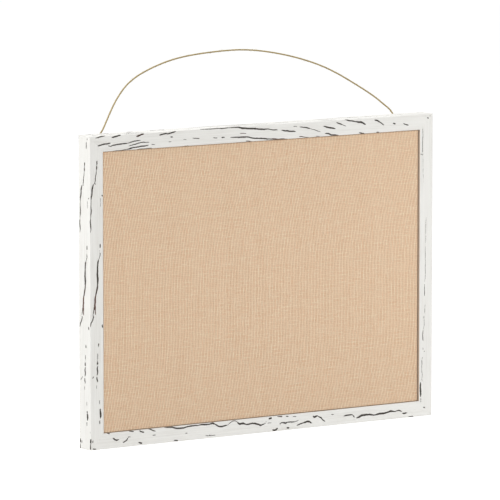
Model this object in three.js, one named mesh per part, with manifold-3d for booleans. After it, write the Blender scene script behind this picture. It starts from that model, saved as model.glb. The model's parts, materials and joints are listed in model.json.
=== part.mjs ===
// A framed bulletin board: a mitred, white-washed wooden frame round a pin panel covered in burlap.
// It hangs by a stiff twine that is tied to two screw eyes in the back of its top rail.
// Millimetres, +Z up, +X to the viewer's right, and the front faces -Y.
// The origin is the middle of the bottom rail's back face, on the plane that faces the wall.

import * as THREE from "three";
import { mergeVertices } from "three/addons/utils/BufferGeometryUtils.js";
import Module from "manifold-3d";

const wasm = await Module();
wasm.setup();

// The frame as a whole, and the section of its moulding
const boardWidth = 610;
const boardHeight = 457;
const frameDepth = 30;
const faceWidth = 23.5;
const rabbetWidth = 8;
const frontArris = 1.2;
const backArris = 0.6;

// The burlap-covered panel, from the front to the back
const panelRecess = 1.8;
const panelSideGap = 0.8;
const clothThickness = 0.9;
const coreThickness = 12;
const panelEdgeRadius = 5;
const panelCornerBlend = 1.5;
const hemWidth = 22;
const hemCornerRadius = 8;

// The hardboard that closes the back, in the moulding's rabbet
const backingThickness = 3;
const backingSideGap = 0.8;
const backingCornerRadius = 2;

// The steel points that hold the backing in the rabbet
const pointWidth = 6;
const pointLength = 14;
const pointThickness = 0.5;
const pointBite = 6.5;
const pointTaper = 2.5;
const pointCorner = 1;

// The V nails across each mitre
const nailLeg = 5.5;
const nailThickness = 0.6;
const nailHeight = 10;
const nailInset = 3.2;
const nailPitch = 6;
const nailSink = 0.2;

// The screw eyes in the back of the top rail
const eyeInset = 39;
const eyeDrop = 11;
const eyeWire = 1.8;
const eyeBore = 5.6;
const eyeNeck = 0.8;
const eyeShankLength = 12;
const eyeTipLength = 3;

// The twine and the knots on its ends
const twineDiameter = 2.2;
const knotDiameter = 5.2;
const knotLength = 6.3;
const tailLength = 11;

// The soft bumpers at the lower corners
const bumperRadius = 5;
const bumperHeight = 3.5;
const bumperDome = 1.6;
const bumperRise = 34;

// Clearances
const seatGap = 0.3;
const mitreGap = 0.3;
const cutOverrun = 1;
const weldDistance = 0.001;

// Angles
const quarterTurn = Math.PI / 2;
const fullTurn = Math.PI * 2;
const hangerLean = THREE.MathUtils.degToRad(34);
const twineRise = THREE.MathUtils.degToRad(52);
const tailDroop = THREE.MathUtils.degToRad(8);
const eyeOpening = THREE.MathUtils.degToRad(32);

// Counts
const pointsAcross = 3;
const pointsUp = 2;
const nailsPerMitre = 2;
const arrisFacets = 4;
const edgeFacets = 5;
const cornerFacets = 5;
const wireSides = 8;
const ringFacets = 24;
const shankSides = 12;
const boreSides = 16;
const loopFacets = 16;
const knotSides = 12;
const knotBands = 7;
const bumperSides = 24;
const bumperBands = 5;
const twineSides = 8;
const twineSteps = 80;

// Sizes that follow from those above
const wallWidth = faceWidth - rabbetWidth;
const openingWidth = boardWidth - 2 * faceWidth;
const openingHeight = boardHeight - 2 * faceWidth;
const coverWidth = openingWidth - 2 * panelSideGap;
const coverHeight = openingHeight - 2 * panelSideGap;
const cavityDepth = coreThickness + 2 * seatGap;
const coverDepth = cavityDepth + 2 * clothThickness;
const panelCornerRadius = panelEdgeRadius + panelCornerBlend;
const shoulderDepth = panelRecess + coverDepth;
const backingFront = shoulderDepth + seatGap;
const backingBack = backingFront + backingThickness;
const backingWidth = openingWidth + 2 * (rabbetWidth - backingSideGap);
const backingHeight = openingHeight + 2 * (rabbetWidth - backingSideGap);
const eyeSpan = boardWidth - 2 * eyeInset;
const eyeRingRadius = (eyeBore + eyeWire) / 2;
const eyeStandOff = eyeNeck + eyeBore / 2 + eyeWire;
const loopRadius = (eyeWire + twineDiameter) / 2 + seatGap;
const knotStart = loopRadius - twineDiameter / 2 + seatGap;
const knotEnd = knotStart + knotLength;

// The twine's route in the hanger's own plane: across from the middle of the board, and out from the line
// through the eyes. It starts and ends one seat gap past the knots.
const twineRoute = [
  [-261, 10.1],
  [-253.5, 17.2],
  [-242.5, 30.3],
  [-230.5, 44.8],
  [-218.2, 58.8],
  [-204.5, 72.5],
  [-187.5, 86.8],
  [-170, 97.7],
  [-150.5, 106.8],
  [-126, 115.8],
  [-98.5, 123.7],
  [-72, 128.8],
  [-46, 131.9],
  [-20.5, 133.8],
  [5, 135],
  [30, 135],
  [54.5, 132.9],
  [78.5, 128.9],
  [101.5, 123.5],
  [124, 116.8],
  [146.5, 108.3],
  [168, 98],
  [188.5, 85],
  [209.5, 68.6],
  [229, 52],
  [240.5, 40.8],
  [249.8, 29.8],
  [258.2, 19],
  [261, 10.1],
];

const finish = {
  whitewash: new THREE.MeshStandardMaterial({ color: 0xe3e1db, roughness: 0.75, metalness: 0 }),
  burlap: new THREE.MeshStandardMaterial({ color: 0xd8bd9e, roughness: 0.95, metalness: 0 }),
  softboard: new THREE.MeshStandardMaterial({ color: 0xa08c70, roughness: 0.95, metalness: 0 }),
  hardboard: new THREE.MeshStandardMaterial({ color: 0x7a5537, roughness: 0.7, metalness: 0 }),
  zinc: new THREE.MeshStandardMaterial({ color: 0xb9bbbd, roughness: 0.4, metalness: 0.9 }),
  brass: new THREE.MeshStandardMaterial({ color: 0xc7a452, roughness: 0.35, metalness: 0.9 }),
  twine: new THREE.MeshStandardMaterial({ color: 0xa39266, roughness: 0.95, metalness: 0 }),
  rubber: new THREE.MeshStandardMaterial({ color: 0xd9dad6, roughness: 0.5, metalness: 0 }),
};

// A closed geometry as a solid that can be joined and cut.
function solidFrom(geometry) {
  const bare = geometry.index ? geometry.toNonIndexed() : geometry.clone();
  bare.deleteAttribute("normal");
  bare.deleteAttribute("uv");
  const welded = mergeVertices(bare, weldDistance);
  return new wasm.Manifold(
    new wasm.Mesh({
      numProp: 3,
      vertProperties: new Float32Array(welded.attributes.position.array),
      triVerts: new Uint32Array(welded.index.array),
    }),
  );
}

function geometryFrom(solid) {
  const mesh = solid.getMesh();
  const geometry = new THREE.BufferGeometry();
  geometry.setAttribute("position", new THREE.BufferAttribute(mesh.vertProperties, 3));
  geometry.setIndex(new THREE.BufferAttribute(mesh.triVerts, 1));
  geometry.computeVertexNormals();
  return geometry;
}

function joined(...geometries) {
  const solids = geometries.map(solidFrom);
  return geometryFrom(solids.reduce((whole, piece) => whole.add(piece)));
}

function cut(geometry, cutters) {
  const blank = solidFrom(geometry);
  return geometryFrom(cutters.reduce((rest, cutter) => rest.subtract(solidFrom(cutter)), blank));
}

function piece(name, geometry, material) {
  const mesh = new THREE.Mesh(geometry, material);
  mesh.name = name;
  return mesh;
}

function regularPolygon(radius, sides) {
  const corners = Array.from({ length: sides }, (_, i) => {
    const turn = (i / sides) * fullTurn;
    return new THREE.Vector2(radius * Math.cos(turn), radius * Math.sin(turn));
  });
  return new THREE.Shape(corners);
}

function roundedRectangle(width, height, radius) {
  const x = width / 2;
  const y = height / 2;
  const outline = new THREE.Shape();
  outline.moveTo(radius - x, -y);
  outline.lineTo(x - radius, -y);
  outline.absarc(x - radius, radius - y, radius, -quarterTurn, 0);
  outline.lineTo(x, y - radius);
  outline.absarc(x - radius, y - radius, radius, 0, quarterTurn);
  outline.lineTo(radius - x, y);
  outline.absarc(radius - x, y - radius, radius, quarterTurn, 2 * quarterTurn);
  outline.lineTo(-x, radius - y);
  outline.absarc(radius - x, radius - y, radius, 2 * quarterTurn, 3 * quarterTurn);
  return outline;
}

// A slab whose outline stands in the XZ plane and whose thickness runs back along Y.
function slab(outline, thickness) {
  const geometry = new THREE.ExtrudeGeometry(outline, {
    depth: thickness,
    bevelEnabled: false,
    curveSegments: cornerFacets,
  });
  return geometry.rotateX(quarterTurn).translate(0, thickness, 0);
}

// A panel with a flat front at y = 0 whose four front edges roll over in a quarter round. Each ring is the
// outline one step further back, with the corner radius shrinking as the ring draws in.
function rolledPanel(width, height, depth, edgeRadius, cornerRadius) {
  const rings = [];
  for (let step = 0; step <= edgeFacets; step += 1) {
    const turn = (step / edgeFacets) * quarterTurn;
    const inset = edgeRadius * (1 - Math.sin(turn));
    const back = edgeRadius * (1 - Math.cos(turn));
    rings.push(ringAt(width - 2 * inset, height - 2 * inset, cornerRadius - inset, back));
  }
  rings.push(ringAt(width, height, cornerRadius, depth));
  return skinned(rings);
}

function ringAt(width, height, radius, y) {
  const corners = [
    [1, 1],
    [-1, 1],
    [-1, -1],
    [1, -1],
  ];
  return corners.flatMap(([right, up], quarter) =>
    Array.from({ length: cornerFacets + 1 }, (_, i) => {
      const turn = (quarter + i / cornerFacets) * quarterTurn;
      const x = right * (width / 2 - radius) + radius * Math.cos(turn);
      const z = up * (height / 2 - radius) + radius * Math.sin(turn);
      return new THREE.Vector3(x, y, z);
    }),
  );
}

// A closed skin over rings of equal count, with a fan at each end.
function skinned(rings) {
  const count = rings[0].length;
  const corners = [];
  const face = (a, b, c) => corners.push(a, b, c);
  for (let r = 0; r + 1 < rings.length; r += 1) {
    for (let i = 0; i < count; i += 1) {
      const next = (i + 1) % count;
      face(rings[r][i], rings[r + 1][next], rings[r][next]);
      face(rings[r][i], rings[r + 1][i], rings[r + 1][next]);
    }
  }
  const front = rings[0];
  const back = rings[rings.length - 1];
  for (let i = 1; i + 1 < count; i += 1) {
    face(front[0], front[i], front[i + 1]);
    face(back[0], back[i + 1], back[i]);
  }
  return new THREE.BufferGeometry().setFromPoints(corners);
}

// The moulding's section: across from the outer edge, and back from the front face.
function mouldingSection() {
  const outline = new THREE.Shape();
  outline.moveTo(0, frontArris);
  outline.absarc(frontArris, frontArris, frontArris, 2 * quarterTurn, 3 * quarterTurn);
  outline.lineTo(faceWidth - frontArris, 0);
  outline.absarc(faceWidth - frontArris, frontArris, frontArris, 3 * quarterTurn, 4 * quarterTurn);
  outline.lineTo(faceWidth, shoulderDepth);
  outline.lineTo(wallWidth, shoulderDepth);
  outline.lineTo(wallWidth, frameDepth - backArris);
  outline.lineTo(wallWidth - backArris, frameDepth);
  outline.lineTo(backArris, frameDepth);
  outline.lineTo(0, frameDepth - backArris);
  return outline;
}

// A length of moulding, mitred at both ends: every point of the section is drawn towards the middle of the
// length by its own distance from the outer edge, which cuts both ends at 45 degrees.
function mouldingGeometry(length) {
  const geometry = new THREE.ExtrudeGeometry(mouldingSection(), {
    depth: length,
    bevelEnabled: false,
    curveSegments: arrisFacets,
  });
  const position = geometry.attributes.position;
  const endTrim = (mitreGap / 2) * Math.SQRT2;
  for (let i = 0; i < position.count; i += 1) {
    const along = position.getZ(i) - length / 2;
    position.setZ(i, Math.sign(along) * (length / 2 - position.getX(i) - endTrim));
  }
  return geometry;
}

// Where each length of moulding lies in the board: the middle of its outer front edge, the way in from that
// edge, and the way along it.
const rails = {
  rail_top: { length: boardWidth, at: [0, 0, boardHeight], inward: [0, 0, -1], along: [1, 0, 0] },
  rail_bottom: { length: boardWidth, at: [0, 0, 0], inward: [0, 0, 1], along: [-1, 0, 0] },
  stile_left: {
    length: boardHeight,
    at: [-boardWidth / 2, 0, boardHeight / 2],
    inward: [1, 0, 0],
    along: [0, 0, 1],
  },
  stile_right: {
    length: boardHeight,
    at: [boardWidth / 2, 0, boardHeight / 2],
    inward: [-1, 0, 0],
    along: [0, 0, -1],
  },
};
const backwards = new THREE.Vector3(0, 1, 0);

function railPlace({ at, inward, along }) {
  return new THREE.Matrix4()
    .makeBasis(new THREE.Vector3(...inward), backwards, new THREE.Vector3(...along))
    .setPosition(...at);
}

// A V nail stands with its height along Y: its point is at the outer corner, one leg runs along +X and the
// other along -Z. The same form, a little larger, cuts its slot.
function nailGeometry(growth, height) {
  const half = nailThickness / 2 + growth;
  const leg = nailLeg + growth;
  const outline = new THREE.Shape();
  outline.moveTo(-half, -half);
  outline.lineTo(leg, -half);
  outline.lineTo(leg, half);
  outline.lineTo(half, half);
  outline.lineTo(half, leg);
  outline.lineTo(-half, leg);
  return new THREE.ExtrudeGeometry(outline, { depth: height, bevelEnabled: false }).rotateX(
    -quarterTurn,
  );
}

// The four mitres: the side of the board, its top or bottom, and the turn that brings a V nail's legs
// along the two pieces that meet there.
const mitres = [
  { corner: "top_left", side: -1, end: 1, turn: 0 },
  { corner: "top_right", side: 1, end: 1, turn: quarterTurn },
  { corner: "bottom_right", side: 1, end: -1, turn: 2 * quarterTurn },
  { corner: "bottom_left", side: -1, end: -1, turn: 3 * quarterTurn },
];

const nails = mitres.flatMap(({ corner, side, end, turn }) =>
  Array.from({ length: nailsPerMitre }, (_, i) => {
    const inset = nailInset + i * nailPitch;
    const place = new THREE.Vector3(
      side * (boardWidth / 2 - inset),
      frameDepth - nailSink - nailHeight,
      boardHeight / 2 + end * (boardHeight / 2 - inset),
    );
    return { name: `v_nail_${corner}_${i + 1}`, place, turn };
  }),
);

function nailMesh({ name, place, turn }) {
  const mesh = piece(name, nailGeometry(0, nailHeight), finish.zinc);
  mesh.position.copy(place);
  mesh.rotation.y = turn;
  return mesh;
}

function nailSlot({ place, turn }) {
  const height = nailHeight + seatGap + nailSink + cutOverrun;
  return nailGeometry(seatGap, height)
    .translate(0, -seatGap, 0)
    .rotateY(turn)
    .translate(place.x, place.y, place.z);
}

// A point lies flat on the backing: its length runs along X, with the pointed end bitten into the rabbet's
// wall on the -X side of its own origin.
function pointGeometry() {
  const half = pointWidth / 2;
  const reach = pointLength - pointBite;
  const outline = new THREE.Shape();
  outline.moveTo(-pointBite, 0);
  outline.lineTo(pointTaper - pointBite, -half);
  outline.lineTo(reach - pointCorner, -half);
  outline.absarc(reach - pointCorner, pointCorner - half, pointCorner, -quarterTurn, 0);
  outline.absarc(reach - pointCorner, half - pointCorner, pointCorner, 0, quarterTurn);
  outline.lineTo(pointTaper - pointBite, half);
  return slab(outline, pointThickness);
}

function pointSlotGeometry() {
  const height = pointThickness + 2 * seatGap;
  const length = pointBite + seatGap + cutOverrun;
  const box = new THREE.BoxGeometry(length, height, pointWidth + 2 * seatGap);
  return box.translate(cutOverrun - length / 2, pointThickness / 2, 0);
}

// The points are spread evenly along each side of the rabbet.
function spread(count, span) {
  return Array.from({ length: count }, (_, i) => ((i + (1 - count) / 2) * span) / count);
}

const rabbetX = boardWidth / 2 - wallWidth;
const rabbetZ = boardHeight / 2 - wallWidth;
const pointSeats = [
  ...spread(pointsAcross, openingWidth).flatMap((x, i) => [
    { name: `point_top_${i + 1}`, x, z: rabbetZ, turn: quarterTurn },
    { name: `point_bottom_${i + 1}`, x, z: -rabbetZ, turn: -quarterTurn },
  ]),
  ...spread(pointsUp, openingHeight).flatMap((z, i) => [
    { name: `point_left_${i + 1}`, x: -rabbetX, z, turn: 0 },
    { name: `point_right_${i + 1}`, x: rabbetX, z, turn: 2 * quarterTurn },
  ]),
];

function pointMesh({ name, x, z, turn }) {
  const mesh = piece(name, pointGeometry(), finish.zinc);
  mesh.position.set(x, backingBack + seatGap, boardHeight / 2 + z);
  mesh.rotation.y = turn;
  return mesh;
}

function pointSlot({ x, z, turn }) {
  return pointSlotGeometry()
    .rotateY(turn)
    .translate(x, backingBack + seatGap, boardHeight / 2 + z);
}

// A circle in the YZ plane that starts on the -Y side, where the shank meets it, and climbs over the top.
class EyeRing extends THREE.Curve {
  constructor(radius, sweep) {
    super();
    this.radius = radius;
    this.sweep = sweep;
  }

  getPoint(t, target = new THREE.Vector3()) {
    const turn = t * this.sweep;
    return target.set(0, -this.radius * Math.cos(turn), this.radius * Math.sin(turn));
  }
}

// A screw eye round its own ring's centre: bent wire, with the wire's end just short of the shank.
function eyeGeometry() {
  const wire = eyeWire / 2;
  const ring = new THREE.ExtrudeGeometry(regularPolygon(wire, wireSides), {
    steps: ringFacets,
    bevelEnabled: false,
    extrudePath: new EyeRing(eyeRingRadius, fullTurn - eyeOpening),
  });
  const shankStart = -eyeRingRadius;
  const shankEnd = -(eyeStandOff + eyeShankLength);
  const shank = new THREE.LatheGeometry(
    [
      new THREE.Vector2(0, shankEnd),
      new THREE.Vector2(wire, shankEnd + eyeTipLength),
      new THREE.Vector2(wire, shankStart),
      new THREE.Vector2(0, shankStart + wire / 2),
    ],
    shankSides,
  );
  return joined(ring, shank);
}

function eyeBoreGeometry() {
  const depth = eyeShankLength + seatGap;
  const bore = new THREE.CylinderGeometry(
    eyeWire / 2 + seatGap,
    eyeWire / 2 + seatGap,
    depth + cutOverrun,
    boreSides,
  );
  return bore.translate(0, (cutOverrun - depth) / 2, 0);
}

const eyeSides = [
  { name: "left", side: -1 },
  { name: "right", side: 1 },
];
const eyeY = frameDepth + eyeStandOff;
const eyeZ = boardHeight - eyeDrop;

function eyeMesh({ name, side }) {
  const mesh = piece(`screw_eye_${name}`, eyeGeometry(), finish.brass);
  mesh.position.set((side * eyeSpan) / 2, eyeY, eyeZ);
  return mesh;
}

function eyeBoreCut({ side }) {
  return eyeBoreGeometry().translate((side * eyeSpan) / 2, frameDepth, eyeZ);
}

// Each length of moulding is cut for the fasteners that enter it.
function railMesh(name) {
  const rail = rails[name];
  const place = railPlace(rail);
  const back = place.clone().invert();
  const cutters = [...nails.map(nailSlot), ...pointSeats.map(pointSlot)];
  if (name === "rail_top") cutters.push(...eyeSides.map(eyeBoreCut));
  const geometry = cut(
    mouldingGeometry(rail.length),
    cutters.map((cutter) => cutter.applyMatrix4(back)),
  );
  const mesh = piece(name, geometry, finish.whitewash);
  mesh.position.setFromMatrixPosition(place);
  mesh.quaternion.setFromRotationMatrix(place);
  return mesh;
}

// The burlap is one skin over the front and sides of the core, turned in behind it as a hem.
function coverMesh() {
  const outer = rolledPanel(
    coverWidth,
    coverHeight,
    coverDepth,
    panelEdgeRadius,
    panelCornerRadius,
  );
  const inner = rolledPanel(
    coverWidth - 2 * clothThickness,
    coverHeight - 2 * clothThickness,
    cavityDepth,
    panelEdgeRadius - clothThickness,
    panelCornerRadius - clothThickness,
  ).translate(0, clothThickness, 0);
  const windowOutline = roundedRectangle(
    coverWidth - 2 * hemWidth,
    coverHeight - 2 * hemWidth,
    hemCornerRadius,
  );
  const window = slab(windowOutline, 2 * cutOverrun + clothThickness).translate(
    0,
    coverDepth - clothThickness - cutOverrun,
    0,
  );
  const mesh = piece("burlap_cover", cut(outer, [inner, window]), finish.burlap);
  mesh.position.set(0, panelRecess, boardHeight / 2);
  return mesh;
}

function coreMesh() {
  const inset = clothThickness + seatGap;
  const geometry = rolledPanel(
    coverWidth - 2 * inset,
    coverHeight - 2 * inset,
    coreThickness,
    panelEdgeRadius - inset,
    panelCornerRadius - inset,
  );
  const mesh = piece("pinboard_core", geometry, finish.softboard);
  mesh.position.set(0, panelRecess + inset, boardHeight / 2);
  return mesh;
}

function backingMesh() {
  const outline = roundedRectangle(backingWidth, backingHeight, backingCornerRadius);
  const mesh = piece("backing_board", slab(outline, backingThickness), finish.hardboard);
  mesh.position.set(0, backingFront, boardHeight / 2);
  return mesh;
}

// A bumper is a low dome that stands on the back of a stile.
function bumperMesh({ name, side }) {
  const profile = [new THREE.Vector2(0, 0), new THREE.Vector2(bumperRadius, 0)];
  const shoulder = bumperHeight - bumperDome;
  for (let band = 0; band < bumperBands; band += 1) {
    const turn = (band / bumperBands) * quarterTurn;
    const radius = bumperRadius * Math.cos(turn);
    profile.push(new THREE.Vector2(radius, shoulder + bumperDome * Math.sin(turn)));
  }
  profile.push(new THREE.Vector2(0, bumperHeight));
  const geometry = new THREE.LatheGeometry(profile, bumperSides);
  const mesh = piece(`bumper_${name}`, geometry, finish.rubber);
  const x = side * (boardWidth / 2 - wallWidth / 2);
  mesh.position.set(x, frameDepth + seatGap, bumperRise);
  return mesh;
}

// A knot holds a loop of twine through the eye. Its own origin is on the middle of the eye's wire, where
// that is furthest along the hanger. The tail leaves it towards the nearer side of the board.
function knotMesh({ name, side }) {
  const strand = twineDiameter / 2;
  const loop = new THREE.TorusGeometry(loopRadius, strand, wireSides, loopFacets).rotateX(
    quarterTurn,
  );
  const profile = [new THREE.Vector2(0, knotStart)];
  for (let band = 0; band <= knotBands; band += 1) {
    const share = band / knotBands;
    const swell = (knotDiameter / 2 - strand) * Math.sin(share * 2 * quarterTurn);
    profile.push(new THREE.Vector2(strand + swell, knotStart + knotLength * share));
  }
  profile.push(new THREE.Vector2(0, knotEnd));
  const tilt = quarterTurn - twineRise;
  const body = new THREE.LatheGeometry(profile, knotSides).rotateX(quarterTurn).rotateY(-side * tilt);
  const middle = (knotStart + knotEnd) / 2;
  const tail = new THREE.CylinderGeometry(strand, strand, tailLength, wireSides)
    .translate(0, tailLength / 2, 0)
    .rotateZ(-side * (quarterTurn + tailDroop))
    .rotateX(quarterTurn)
    .translate(-side * middle * Math.cos(twineRise), 0, middle * Math.sin(twineRise));
  const mesh = piece(`hanger_knot_${name}`, joined(loop, body, tail), finish.twine);
  mesh.position.set((side * eyeSpan) / 2, 0, eyeRingRadius);
  return mesh;
}

function twineMesh() {
  const points = twineRoute.map(([across, out]) => new THREE.Vector3(across, 0, out));
  const path = new THREE.CatmullRomCurve3(points, false, "centripetal");
  const geometry = new THREE.ExtrudeGeometry(regularPolygon(twineDiameter / 2, twineSides), {
    steps: twineSteps,
    bevelEnabled: false,
    extrudePath: path,
  });
  return piece("hanger_twine", geometry, finish.twine);
}

// The hanger turns about the line through both eyes. It stands leaning back, as stiff twine does.
function hangerGroup() {
  const hanger = new THREE.Group();
  hanger.add(twineMesh(), ...eyeSides.map(knotMesh));
  hanger.position.set(0, eyeY, eyeZ);
  hanger.rotation.x = -hangerLean;
  return hanger;
}

// The board is laid out from the middle of its lower front edge, and then set with the origin on the back
// face of the bottom rail.
const board = new THREE.Group();
board.add(...Object.keys(rails).map(railMesh));
board.add(...nails.map(nailMesh));
board.add(coverMesh(), coreMesh(), backingMesh());
board.add(...pointSeats.map(pointMesh));
board.add(...eyeSides.map(eyeMesh));
board.add(...eyeSides.map(bumperMesh));
board.add(hangerGroup());
board.position.set(0, -frameDepth, -wallWidth / 2);

const bulletinBoard = new THREE.Group();
bulletinBoard.name = "bulletin_board";
bulletinBoard.add(board);

export default bulletinBoard;
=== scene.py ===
# %% [markdown]
# # A white-washed pin board with a burlap panel
#
# The object is a bulletin board: four mitred lengths of wood, painted thin and white and then worn back,
# round a panel of burlap. It hangs by jute twine tied to two screw eyes. The construction is loaded as a
# fixed frame. This lesson dresses it: every surface gets the make-up of the real one, and wood, cloth and
# twine are modelled again finely enough to be looked at closely.

# %% Load the frame
import json
import math
import random

import bmesh
import bpy
import numpy as np
from mathutils import Matrix, Vector, kdtree, noise


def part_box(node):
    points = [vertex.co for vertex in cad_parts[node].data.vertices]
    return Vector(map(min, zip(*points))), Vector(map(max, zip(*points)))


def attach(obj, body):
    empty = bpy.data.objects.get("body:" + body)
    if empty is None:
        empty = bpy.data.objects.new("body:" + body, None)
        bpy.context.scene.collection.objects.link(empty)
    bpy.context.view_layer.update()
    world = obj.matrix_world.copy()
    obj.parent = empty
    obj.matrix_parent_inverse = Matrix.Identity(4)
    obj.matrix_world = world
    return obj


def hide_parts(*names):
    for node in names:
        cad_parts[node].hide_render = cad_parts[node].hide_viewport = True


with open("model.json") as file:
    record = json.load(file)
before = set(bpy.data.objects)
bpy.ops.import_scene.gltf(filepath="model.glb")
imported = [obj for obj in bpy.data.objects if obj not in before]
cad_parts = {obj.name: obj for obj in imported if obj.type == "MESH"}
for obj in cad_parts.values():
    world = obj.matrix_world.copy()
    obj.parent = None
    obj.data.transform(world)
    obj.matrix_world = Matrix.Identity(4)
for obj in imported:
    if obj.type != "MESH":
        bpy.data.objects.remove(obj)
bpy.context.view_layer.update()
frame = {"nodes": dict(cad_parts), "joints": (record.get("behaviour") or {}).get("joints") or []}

mm = 0.001
turn = 2 * math.pi

# %% [markdown]
# ## Where the board is
# Nothing is placed by eye: the corners of the board come from the frame's own pieces, in metres, with X to
# the viewer's right, Y running back to the wall and Z up.

# %% Read the board's corners
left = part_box("stile_left")[0][0]
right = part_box("stile_right")[1][0]
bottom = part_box("rail_bottom")[0][2]
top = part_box("rail_top")[1][2]
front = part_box("rail_top")[0][1]
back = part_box("rail_top")[1][1]
face_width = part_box("stile_left")[1][0] - left
board_width = right - left
board_height = top - bottom
board_depth = back - front
middle = Vector(((left + right) / 2, (front + back) / 2, (bottom + top) / 2))
print(f"board {board_width:.3f} x {board_height:.3f} x {board_depth:.3f} m, face {face_width:.4f} m")

# %% [markdown]
# ## The camera
# The photograph was taken from the left and a little above with a long lens: the two short sides of the
# board differ by only a tenth. The place, the turn and the lens were fitted to the board's four corners.

# %% Set the camera
camera_place = Vector((-4.6135, -6.7927, 1.2693))
camera_yaw = math.radians(34.15)
camera_pitch = math.radians(7.0)
lens = bpy.data.cameras.new("camera")
lens.sensor_width = 36
lens.lens = 403.65
lens.clip_end = 60


def in_scene(name, data):
    """A new object in the scene that shows a mesh, a lens or a light."""
    made = bpy.data.objects.new(name, data)
    bpy.context.collection.objects.link(made)
    return made


camera = in_scene("camera", lens)
camera.location = camera_place
camera.rotation_euler = (math.radians(90) - camera_pitch, 0, -camera_yaw)
bpy.context.scene.camera = camera
bpy.context.scene.view_settings.view_transform = "Standard"
print("camera at", tuple(round(v, 3) for v in camera_place), "lens", lens.lens, "mm")

# %% [markdown]
# ## A pen for shader trees
# A finish is a small formula over the surface: how much is crack, which thread lies on top. Written as
# nodes by hand it is unreadable, so one class wraps a socket and lets Python's own signs build the Math
# nodes, and one method makes every other node.

# %% Wrap a socket so that it can be calculated with
class Signal:
    """A value that varies over the surface, as an output socket of a finish's node tree."""

    def __init__(self, finish, socket):
        self.finish = finish
        self.socket = socket

    def math(self, operation, *values):
        inputs = dict(enumerate(values))
        return self.finish.node("ShaderNodeMath", {"operation": operation}, inputs)

    def __add__(self, other):
        return self.math("ADD", self, other)

    def __sub__(self, other):
        return self.math("SUBTRACT", self, other)

    def __rsub__(self, other):
        return self.math("SUBTRACT", other, self)

    def __mul__(self, other):
        return self.math("MULTIPLY", self, other)

    def __truediv__(self, other):
        return self.math("DIVIDE", self, other)

    def __rtruediv__(self, other):
        return self.math("DIVIDE", other, self)

    def __pow__(self, other):
        return self.math("POWER", self, other)

    def __rpow__(self, other):
        return self.math("POWER", other, self)

    __radd__ = __add__
    __rmul__ = __mul__

    def at_least(self, other):
        return self.math("MAXIMUM", self, other)

    def above(self, other):
        return self.math("GREATER_THAN", self, other)

    def floor(self):
        return self.math("FLOOR", self)

    def cosine(self):
        return self.math("COSINE", self)

    def step(self, low, high):
        """0 below low and 1 above high, with a smooth ramp between them."""
        settings = {"interpolation_type": "SMOOTHSTEP"}
        inputs = {"Value": self, "From Min": low, "From Max": high}
        return self.finish.node("ShaderNodeMapRange", settings, inputs)


print("besides + - * / **, a Signal has", [name for name in vars(Signal) if not name.startswith("_")])

# %% [markdown]
# ## One maker for every node
# A finish is the node tree of a material, or of the world. Its method node makes any node at all: the kind,
# then the settings, then the values or links of its sockets. The few nodes that come back again and again,
# such as noise, a mix of two colours and bump, get short names of their own.

# %% Make a finish from nodes
class Finish:
    """The nodes of a material, or of the world, that end in its one shader."""

    def __init__(self, owner, **constants):
        owner.use_nodes = True
        self.owner = owner
        self.tree = owner.node_tree
        ends = ("BSDF_PRINCIPLED", "BACKGROUND")
        self.shader = next(node for node in self.tree.nodes if node.type in ends)
        for socket, value in constants.items():
            self.shader.inputs[socket.replace("_", " ")].default_value = value

    def node(self, kind, settings=None, inputs=None, output=0):
        made = self.tree.nodes.new(kind)
        for name, value in (settings or {}).items():
            setattr(made, name, value)
        for name, value in (inputs or {}).items():
            if isinstance(value, Signal):
                self.tree.links.new(value.socket, made.inputs[name])
            else:
                made.inputs[name].default_value = value
        return Signal(self, made.outputs[output])

    def feed(self, socket, signal):
        self.tree.links.new(signal.socket, self.shader.inputs[socket])

    def attribute(self, name):
        """A vector stored at the mesh's points."""
        return self.node("ShaderNodeAttribute", {"attribute_name": name}, output="Vector")

    def place(self):
        """Where a point is on its piece, in metres."""
        return self.node("ShaderNodeTexCoord", output="Object")

    def part(self, vector, axis):
        return self.node("ShaderNodeSeparateXYZ", inputs={0: vector}, output=axis)

    def stretched(self, vector, scale):
        return self.node("ShaderNodeVectorMath", {"operation": "MULTIPLY"}, {0: vector, 1: scale})

    def shifted(self, vector, offset):
        return self.node("ShaderNodeVectorMath", {"operation": "ADD"}, {0: vector, 1: offset})

    def noise(self, vector, scale=1.0, detail=3.0, output=0):
        inputs = {"Vector": vector, "Scale": scale, "Detail": detail}
        return self.node("ShaderNodeTexNoise", {}, inputs, output)

    def random_of(self, index):
        """A different number from 0 to 1 for every whole number."""
        return self.node("ShaderNodeTexWhiteNoise", {"noise_dimensions": "1D"}, {"W": index})

    def mix(self, amount, low, high):
        """The colour low where amount is 0, and high where it is 1."""
        # The node's sockets for numbers, vectors and colours share their names, so they go by place.
        settings = {"data_type": "RGBA", "clamp_factor": True}
        return self.node("ShaderNodeMix", settings, {0: amount, 6: low, 7: high}, 2)

    def bump(self, height, depth):
        inputs = {"Height": height, "Distance": depth, "Strength": 1.0}
        self.feed("Normal", self.node("ShaderNodeBump", {}, inputs))

    def report(self):
        print(self.owner.name, "is made of", len(self.tree.nodes), "nodes")


def material(name, **constants):
    return Finish(bpy.data.materials.new(name), **constants)


def colour(red, green, blue):
    """A colour as it looks on a screen, 0 to 255, in the linear light that shaders work in."""
    parts = [value / 255 for value in (red, green, blue)]
    linear = [p / 12.92 if p <= 0.04045 else ((p + 0.055) / 1.055) ** 2.4 for p in parts]
    return (*linear, 1.0)


print("white-wash at screen value 230 is", round(colour(230, 230, 230)[0], 3), "in linear light")

# %% [markdown]
# ## Mesh helpers
# A piece's mesh is made from lists of points and faces. Finishes that follow the grain or the weave need to
# know where they are along it, so those places are stored at the points, in metres.

# %% Turn points and faces into a piece
sharp_turn = math.radians(40)


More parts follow.
